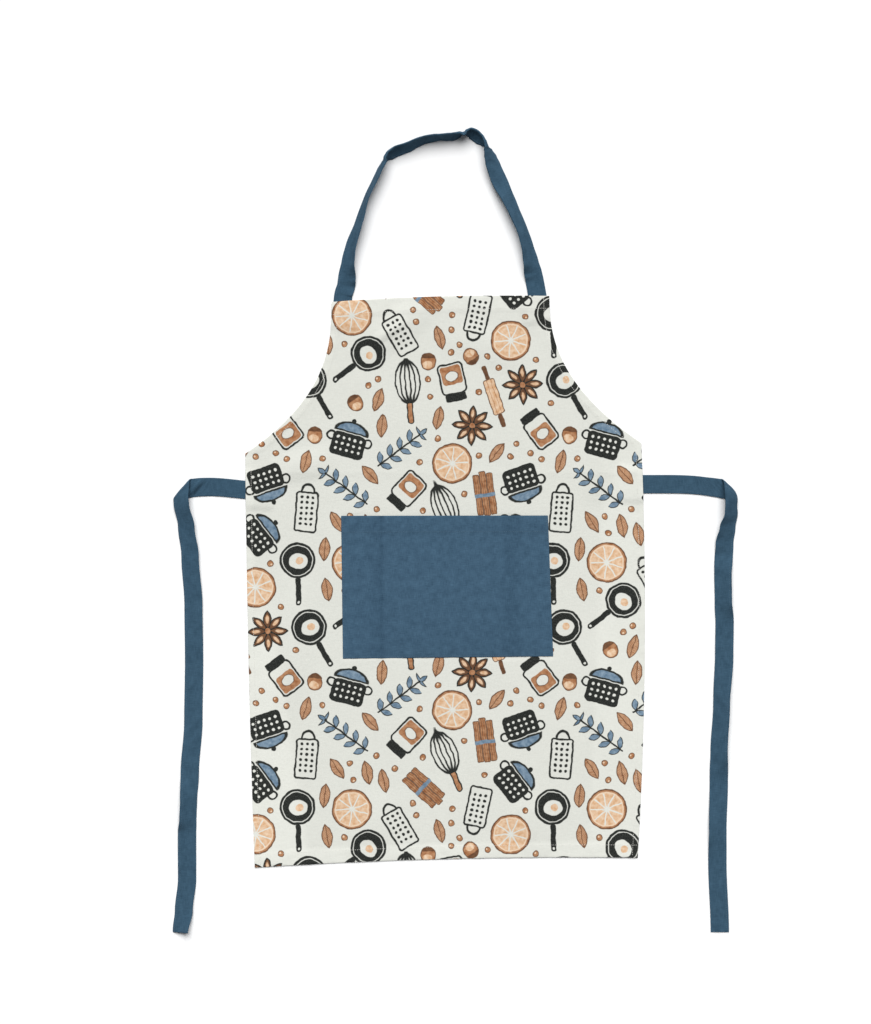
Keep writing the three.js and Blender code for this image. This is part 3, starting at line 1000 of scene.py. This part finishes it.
def draw_sprig(s, place, inks):
    x, y = s.parts(place)
    pitch = 15
    turned = s.sum("SUBTRACT", s.sum("FLOORED_MODULO", s.sum("ADD", y, 2.5 * pitch), pitch), 5)
    half = s.pair(s.sum("ABSOLUTE", x), turned)
    lean = math.radians(50)
    along = s.vector("DOT_PRODUCT", half, (math.sin(lean), math.cos(lean), 0))
    across = s.vector("DOT_PRODUCT", half, (math.cos(lean), -math.sin(lean), 0))
    leaf = s.petal(s.pair(s.sum("ABSOLUTE", across), along), (0, 8.6), 3.4, 7.6)
    leaf = s.sum("MAXIMUM", leaf, s.sum("SUBTRACT", s.sum("ABSOLUTE", y), 2.1 * pitch))
    tip = s.petal(s.vector("ABSOLUTE", s.vector("SUBTRACT", place, (0, 34, 0))), (0, 0), 2.6, 6)
    leaf = s.joined(leaf, tip)
    drawn = s.fill(GROUND, leaf, inks["blue"])
    drawn = s.line(drawn, leaf, 1.1, inks["charcoal"])
    return s.fill(drawn, s.bar(place, (0, -3), (1.1, 33), 0.9), inks["charcoal"])


def draw_spoon(s, place, inks):
    wood = s.joined(s.oval(place, (0, 27), (9.5, 13.5)), s.bar(place, (0, -12), (2.4, 28), 2.2))
    drawn = s.fill(GROUND, wood, inks["rust"])
    drawn = s.fill(drawn, s.oval(place, (0, 28), (6.3, 9.6)), inks["cocoa"])
    return s.line(drawn, wood, 1.4, inks["cocoa"])


def draw_rolling_pin(s, place, inks):
    roller = s.bar(place, (0, 0), (7, 22), 3)
    handles = s.bar(s.vector("ABSOLUTE", place), (0, 31), (2.8, 9), 2.4)
    x, _ = s.parts(place)
    grain = s.both(s.stroke(s.sum("SUBTRACT", s.sum("ABSOLUTE", x), 2.6), 0.7), s.filled(roller))
    drawn = s.fill(GROUND, handles, inks["cocoa"])
    drawn = s.fill(drawn, roller, inks["peach"])
    drawn = s.paint(drawn, grain, inks["rust"])
    return s.line(drawn, roller, 1.1, inks["cocoa"])


def draw_citrus(s, place, inks):
    x, y = s.parts(place)
    reach = s.vector("LENGTH", place)
    segments = 9
    angle = s.sum("ARCTAN2", y, x)
    wave = s.sum("SINE", s.sum("MULTIPLY", angle, segments / 2))
    spokes = s.stroke(s.sum("MULTIPLY", s.sum("MULTIPLY", wave, reach), 2 / segments), 1.5)
    drawn = s.fill(GROUND, s.sum("SUBTRACT", reach, 24), inks["rust"])
    drawn = s.fill(drawn, s.sum("SUBTRACT", reach, 21.4), PALE_PEACH)
    drawn = s.fill(drawn, s.sum("SUBTRACT", reach, 19.6), inks["peach"])
    flesh = s.filled(s.sum("SUBTRACT", reach, 20))
    drawn = s.paint(drawn, s.both(spokes, flesh), GROUND)
    drawn = s.fill(drawn, s.sum("SUBTRACT", reach, 2.4), GROUND)
    return s.line(drawn, s.sum("SUBTRACT", reach, 24), 1.6, inks["cocoa"])


def draw_anise(s, place, inks):
    x, y = s.parts(place)
    reach = s.vector("LENGTH", place)
    petals = 8
    angle = s.sum("PINGPONG", s.sum("ARCTAN2", y, x), math.pi / petals)
    across, along = (s.sum("MULTIPLY", reach, s.sum(part, angle)) for part in ("SINE", "COSINE"))
    folded = s.pair(across, along)
    petal = s.petal(folded, (0, 13.5), 4.5, 11)
    drawn = s.fill(GROUND, petal, inks["cocoa"])
    drawn = s.fill(drawn, s.oval(folded, (0, 14.5), (1.9, 5)), inks["peach"])
    drawn = s.line(drawn, petal, 1.6, inks["charcoal"])
    return s.fill(drawn, s.sum("SUBTRACT", reach, 3.4), inks["rust"])


def draw_jar(s, place, inks):
    body = s.bar(place, (0, -6), (15, 18.5), 5)
    drawn = s.fill(GROUND, s.bar(place, (0, -10.5), (12.6, 11.5), 3.6), inks["rust"])
    drawn = s.fill(drawn, s.oval(place, (0, -9), (8, 6)), GROUND)
    drawn = s.line(drawn, s.oval(place, (0, -9), (8, 6)), 0.8, inks["cocoa"])
    drawn = s.line(drawn, body, 2.4, inks["charcoal"])
    return s.fill(drawn, s.bar(place, (0, 17.5), (13, 4.4), 1.6), inks["charcoal"])


def draw_cinnamon(s, place, inks):
    pair = s.vector("ABSOLUTE", place)
    sticks = s.joined(s.bar(pair, (8.2, 0), (3.6, 25), 1.6), s.bar(place, (0, 1.5), (3.8, 27), 1.6))
    x, _ = s.parts(pair)
    curl = s.stroke(s.sum("SUBTRACT", s.sum("PINGPONG", x, 4.1), 1.4), 0.6)
    drawn = s.fill(GROUND, sticks, inks["rust"])
    drawn = s.paint(drawn, s.both(curl, s.filled(sticks)), inks["cocoa"])
    drawn = s.line(drawn, sticks, 1.1, inks["cocoa"])
    return s.fill(drawn, s.bar(place, (0, -1), (12.6, 2.3), 1), inks["blue"])


def draw_leaf(s, place, inks):
    folded = s.vector("ABSOLUTE", place)
    leaf = s.petal(folded, (0, 0), 6.3, 14.5)
    x, _ = s.parts(folded)
    _, y = s.parts(place)
    rise = s.sum("MULTIPLY_ADD", x, -0.9, y)
    veins = s.stroke(s.sum("SUBTRACT", s.sum("PINGPONG", rise, 2.2), 1.1), 0.5)
    drawn = s.fill(GROUND, leaf, inks["rust"])
    drawn = s.paint(drawn, s.both(s.both(veins, 0.6), s.filled(leaf)), PALE_PEACH)
    drawn = s.paint(drawn, s.both(s.stroke(x, 1.0), s.filled(leaf)), inks["cocoa"])
    return s.line(drawn, leaf, 1.2, inks["cocoa"])


def draw_hazelnut(s, place, inks):
    shell = s.oval(place, (0, -1), (9, 9.8))
    _, y = s.parts(place)
    cap = s.above(s.oval(place, (0, -0.5), (9.8, 10.6)), y, 3.6)
    drawn = s.fill(GROUND, shell, inks["rust"])
    drawn = s.fill(drawn, s.oval(place, (-1, -4.5), (6, 4.6)), inks["peach"])
    drawn = s.fill(drawn, s.oval(place, (-3.6, -4), (1.5, 3.4)), PALE_PEACH)
    drawn = s.line(drawn, shell, 1.2, inks["cocoa"])
    return s.fill(drawn, cap, inks["cocoa"])


def draw_berry(s, place, inks):
    berry = s.disc(place, (0, 0), 3.5)
    drawn = s.fill(GROUND, berry, inks["rust"])
    drawn = s.fill(drawn, s.disc(place, (-1, 1), 1.1), PALE_PEACH)
    return s.line(drawn, berry, 1.0, inks["cocoa"])


# In the order of MOTIFS
DRAWINGS = (
    draw_skillet, draw_pot, draw_grater, draw_whisk, draw_sprig, draw_citrus, draw_anise, draw_jar,
    draw_cinnamon, draw_spoon, draw_rolling_pin, draw_leaf, draw_hazelnut, draw_berry,
)


# Cloth finishes

def weave_height(s, cloth, thread):
    """Plain weave: threads of this width that pass over and under each other"""
    x, y = s.parts(s.vector("MULTIPLY", cloth, (math.pi / (thread * MM),) * 2 + (0,)))
    return s.sum("MULTIPLY", s.sum("SINE", x), s.sum("SINE", y))


def slub(s, cloth, length, width):
    """Thick and thin stretches of yarn, across and along the cloth, from 0 to 1"""
    across = s.cloud(cloth, (1 / (length * MM), 1 / (width * MM), 0))
    along = s.cloud(cloth, (1 / (width * MM), 1 / (length * MM), 0))
    return s.sum("MULTIPLY", s.sum("ADD", across, along), 0.5)


def finish_cotton(s, colour, cloth, thread, sheen):
    s.feed(s.shader.inputs["Base Color"], colour)
    s.shader.inputs["Roughness"].default_value = 0.92
    s.shader.inputs["Specular IOR Level"].default_value = 0.06
    s.shader.inputs["Sheen Weight"].default_value = sheen
    s.shader.inputs["Sheen Roughness"].default_value = 0.6
    crinkle = s.cloud(cloth, (260, 260, 0), detail=3)
    height = s.sum("MULTIPLY_ADD", weave_height(s, cloth, thread), 0.12, crinkle)
    s.bump(height, 0.0005, 0.7)
    return s.material


def painted_crease_shade(s, cloth, shade_bands):
    """How much darker the cloth is painted in its bands of painted shade, each of which fades to both
    sides
    """
    x, y = s.parts(cloth)
    total = 0.0
    for way, where, width, darker in shade_bands:
        off = s.sum("MULTIPLY_ADD", x if way == "along" else y, 1 / (width * MM), -where / width)
        fall = s.sum("EXPONENT", s.sum("MULTIPLY", s.sum("MULTIPLY", off, off), -0.5))
        total = s.sum("MULTIPLY_ADD", fall, darker, total)
    return total


def blue_cotton(name, deep, pale, shade_bands=()):
    s = Shading(name)
    cloth = s.uv("cloth")
    yarn = s.levels(slub(s, cloth, 9, 0.9), 2.6, -0.8)
    wash = s.levels(s.cloud(cloth, (85, 85, 0), detail=4), 1.6, -0.3)
    tone = s.sum("MULTIPLY_ADD", yarn, 0.6, s.sum("MULTIPLY_ADD", wash, 0.5, -0.06))
    # The bands of painted shade are taken off the cloth's tone
    tone = s.sum("SUBTRACT", tone, painted_crease_shade(s, cloth, shade_bands), clamp=True)
    return finish_cotton(s, s.paint(deep, tone, pale), cloth, 0.55, 0.008)


def printed_cotton(name):
    s = Shading(name)
    cloth = s.uv("cloth")
    kind = s.node("ShaderNodeAttribute", attribute_name="motif_kind").outputs["Fac"]
    upright = s.uv("motif")
    shake = s.vector("SUBTRACT", s.cloud(cloth, (90, 90, 0), detail=3, output="Color"), (0.5, 0.5, 0.5))
    place = s.vector("ADD", upright, s.vector("MULTIPLY", shake, (2 * WOBBLE, 2 * WOBBLE, 0)))
    wash = s.levels(s.cloud(cloth, (170, 170, 0), detail=4), 2.6, -0.8)
    grain = s.levels(s.cloud(cloth, (900, 420, 0), detail=2), 3.2, -1.35)
    inks = {
        "charcoal": s.paint(CHARCOAL, s.sum("MULTIPLY", grain, 0.55), FADED_CHARCOAL),
        "rust": s.paint(RUST, wash, PALE_RUST),
        "cocoa": s.paint(COCOA, wash, PALE_COCOA),
        "peach": s.paint(PEACH, wash, PALE_PEACH),
        "blue": s.paint(DUSTY_BLUE, wash, PALE_BLUE),
    }
    printed = GROUND
    for number, draw in enumerate(DRAWINGS):
        chosen = s.sum("COMPARE", kind, float(number), 0.4)
        printed = s.paint(printed, chosen, draw(s, place, inks))
    yarn = s.sum("MULTIPLY_ADD", slub(s, cloth, 12, 0.8), 0.26, 0.845)
    yarn = s.sum("MULTIPLY_ADD", s.cloud(cloth, (14, 14, 0), detail=3), 0.05, yarn)
    # The panel's paleness: paler hems, and bands of painted light along its sides
    pale = s.node("ShaderNodeAttribute", attribute_name="paleness_and_painted_light").outputs["Fac"]
    shaded = s.vector("MULTIPLY", printed, s.grey(s.sum("ADD", yarn, pale)))
    return finish_cotton(s, shaded, cloth, 0.45, 0.03)


def plain_cotton(name, colour, thread_colour):
    s = Shading(name)
    cloth = s.uv("cloth")
    return finish_cotton(s, s.paint(colour, slub(s, cloth, 12, 0.8), thread_colour), cloth, 0.45, 0.03)


def thread(name, deep, pale):
    """Twisted thread, with the twist's slanted bands along each stitch"""
    s = Shading(name)
    place = s.node("ShaderNodeTexCoord").outputs["Object"]
    twist = s.sum("SINE", s.vector("DOT_PRODUCT", place, (9000, 7000, 4000)))
    tone = s.sum("MULTIPLY_ADD", twist, 0.5, 0.5)
    s.feed(s.shader.inputs["Base Color"], s.paint(deep, tone, pale))
    s.shader.inputs["Roughness"].default_value = 0.7
    s.bump(twist, 0.0001, 0.5)
    return s.material


PRINT = printed_cotton("printed_cotton")
PRINT_BACK = plain_cotton("cotton_back", ink(222, 220, 212), ink(236, 234, 227))
POCKET_BLUE = blue_cotton("pocket_cotton", STEEL_BLUE, PALE_STEEL, POCKET_PAINTED_SHADE)
STRAP_BLUE = blue_cotton("tape_cotton", TAPE_BLUE, PALE_TAPE)
BLUE_THREAD = thread("blue_thread", ink(58, 84, 105), ink(88, 116, 138))
WHITE_THREAD = thread("white_thread", ink(210, 208, 200), ink(238, 236, 230))

# Panel

def panel_v(row):
    return row / BIB_ROWS if row <= BIB_ROWS else 1 + (row - BIB_ROWS) / SKIRT_ROWS


panel_mesh = cloth_grid(
    PANEL_COLUMNS,
    BIB_ROWS + SKIRT_ROWS,
    lambda column, row: panel_point(column / PANEL_COLUMNS, panel_v(row)),
    lambda column, row: panel_place(column / PANEL_COLUMNS, panel_v(row)),
    lambda column, row: panel_paleness(column / PANEL_COLUMNS, panel_v(row)),
)
chart_print(panel_mesh)
panel = finish_mesh(panel_mesh, "panel_cloth", PRINT, PRINT_BACK)
give_wall(panel, PANEL_WALL, -1, back_material=1)

# Where each seam starts and ends, as a share of the way across or down, and how long it is
PANEL_SEAMS = {
    "top": (0.004, 0.996, 308),
    "foot": (0.003, 0.997, 543),
    "armhole": (0.01, 0.985, 262),
    "side": (1.01, 1.995, 585),
}


def side_seam(side):
    """The seam of a side hem, found from the distance to the edge a small share of the way in"""
    share = 0.01

    def point(v):
        near_edge = panel_gaps(share if side == "left" else 1 - share, v)[0]
        inset = share * (SIDE_HEM - SEAM_INSET) / near_edge
        return on_cloth(panel_point(inset if side == "left" else 1 - inset, v))
    return point


top_v = (END_HEM - SEAM_INSET) / BIB_LENGTH
hem_v = 2 - (END_HEM - SEAM_INSET) / SKIRT_LENGTH
panel_rows = [
    seam_row(lambda u: on_cloth(panel_point(u, top_v)), *PANEL_SEAMS["top"]),
    seam_row(lambda u: on_cloth(panel_point(u, hem_v)), *PANEL_SEAMS["foot"]),
]
for side in ("left", "right"):
    for stretch in ("armhole", "side"):
        panel_rows.append(seam_row(side_seam(side), *PANEL_SEAMS[stretch]))
panel_stitches = stitch_rows("panel_stitches", panel_rows, WHITE_THREAD)

# Pocket

pocket = finish_mesh(
    cloth_grid(
        POCKET_COLUMNS,
        POCKET_ROWS,
        lambda column, row: pocket_point(column / POCKET_COLUMNS, row / POCKET_ROWS),
        lambda column, row: pocket_point(column / POCKET_COLUMNS, row / POCKET_ROWS)[:2],
    ),
    "pocket_cloth",
    POCKET_BLUE,
)
give_wall(pocket, POCKET_WALL, -1)

side_u = SEAM_INSET / POCKET_WIDTH
foot_v = 1 - SEAM_INSET / POCKET_DEPTH
mouth_v = (POCKET_HEM - SEAM_INSET) / POCKET_DEPTH
POCKET_SEAMS = {
    "mouth": (0.004, 0.996, 294),
    "side": (0.005, foot_v, 200),
    "foot": (side_u, 1 - side_u, 292),
}
pocket_stitches = stitch_rows(
    "pocket_stitches",
    [
        seam_row(lambda u: on_cloth(pocket_point(u, mouth_v)), *POCKET_SEAMS["mouth"]),
        seam_row(lambda v: on_cloth(pocket_point(side_u, v)), *POCKET_SEAMS["side"]),
        seam_row(lambda v: on_cloth(pocket_point(1 - side_u, v)), *POCKET_SEAMS["side"]),
        seam_row(lambda u: on_cloth(pocket_point(u, foot_v)), *POCKET_SEAMS["foot"]),
    ],
    BLUE_THREAD,
)

# Neck strap and ties

# The share of a tape left free of stitches at each end
STITCH_FREE = 0.002


def tape_piece(name, surface, stations, layer, length):
    """A tape and the stitches along one of its edges, on both faces"""
    def offset(column):
        return STRAP_WIDTH * (column / STRAP_COLUMNS - 0.5)

    count = len(stations) - 1
    mesh = cloth_grid(
        STRAP_COLUMNS,
        count,
        lambda column, row: tape_point(surface, stations[row], offset(column), layer),
        lambda column, row: (offset(column), length * row / count),
    )
    tape = finish_mesh(mesh, name + "_tape", STRAP_BLUE)
    give_wall(tape, STRAP_WALL, 0)

    edge = STRAP_WIDTH / 2 - STRAP_SEAM
    span = (STITCH_FREE * stations[-1], (1 - STITCH_FREE) * stations[-1], length)

    def seam(face):
        def point(s):
            lift = face * (STRAP_WALL / 2 + STRAP_THREAD_LIFT)
            return tape_point(surface, s, edge, layer) + surface_normal(surface, s, edge) * lift
        return point

    rows = [seam_row(seam(face), *span) for face in (1, -1)]
    stitches = stitch_rows(name + "_stitches", rows, BLUE_THREAD)
    return tape, stitches, length


neck_stations = [i / NECK_STEPS for i in range((len(NECK_SECTIONS) - 1) * NECK_STEPS + 1)]
tapes = {"neck_strap": tape_piece("neck_strap", neck_surface, neck_stations, NECK_LAYER, NECK_LENGTH)}
for side, tie in TIES.items():
    surface, stations = tie_shape(tie)
    name = "waist_tie_" + side
    tapes[name] = tape_piece(name, surface, stations, TIE_LAYERS[side], stations[-1])

# What each piece is and stands for

for piece, stitches, node, slot in (
    (panel, panel_stitches, "apron_panel", "printed_cotton"),
    (pocket, pocket_stitches, "front_pocket", "blue_cotton"),
    *((tape, stitches, node, "blue_cotton") for node, (tape, stitches, _) in tapes.items()),
):
    for part in (piece, stitches):
        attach(part, "root")
    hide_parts(node)

# Table, light and camera

# What the picture takes in at the table, and the camera's height, in millimetres
PICTURE_HEIGHT = 1459.2
PICTURE_CENTRE = (-28.1, 25.4)
CAMERA_HEIGHT = 4000
SENSOR_WIDTH = 36
# The table's half width, and how far it lies below the frame's zero height, in metres
TABLE_REACH = 40
TABLE_DROP = 0.0004
# Where the window's light comes from, how wide the window is in degrees, and the strengths
LIGHT_FROM = (0, 0.62, 1.0)
LIGHT_SPREAD = 45
LIGHT_STRENGTH = 3.62
ROOM_COLOUR = (0.95, 0.97, 1, 1)
ROOM_STRENGTH = 0.12


def table_top():
    mesh = bmesh.new()
    bmesh.ops.create_grid(mesh, x_segments=1, y_segments=1, size=TABLE_REACH)
    s = Shading("table_paper")
    place = s.node("ShaderNodeTexCoord").outputs["Object"]
    paper = s.paint(ink(250, 250, 250), s.cloud(place, (3, 3, 3)), ink(252, 252, 252))
    s.feed(s.shader.inputs["Base Color"], paper)
    s.shader.inputs["Roughness"].default_value = 1
    s.shader.inputs["Specular IOR Level"].default_value = 0
    table = finish_mesh(mesh, "table", s.material)
    table.data.transform(Matrix.Translation((0, 0, -TABLE_DROP)))


def window_light(towards, softness, strength):
    """Even daylight from a wide window, which comes from this direction"""
    data = bpy.data.lights.new("window_light", "SUN")
    data.energy = strength
    data.angle = math.radians(softness)
    lamp = bpy.data.objects.new("window_light", data)
    lamp.rotation_mode = "QUATERNION"
    lamp.rotation_quaternion = Vector(towards).to_track_quat("Z", "Y")
    bpy.context.collection.objects.link(lamp)


table_top()
window_light(LIGHT_FROM, LIGHT_SPREAD, LIGHT_STRENGTH)

world = bpy.data.worlds.new("studio")
world.use_nodes = True
backdrop = world.node_tree.nodes["Background"]
backdrop.inputs["Color"].default_value = ROOM_COLOUR
backdrop.inputs["Strength"].default_value = ROOM_STRENGTH
bpy.context.scene.world = world
bpy.context.scene.view_settings.view_transform = "Standard"

lens = bpy.data.cameras.new("camera")
lens.sensor_width = SENSOR_WIDTH
lens.lens = SENSOR_WIDTH * CAMERA_HEIGHT / PICTURE_HEIGHT
camera = bpy.data.objects.new("camera", lens)
camera.location = in_frame(*PICTURE_CENTRE, CAMERA_HEIGHT)
bpy.context.collection.objects.link(camera)
bpy.context.scene.camera = camera
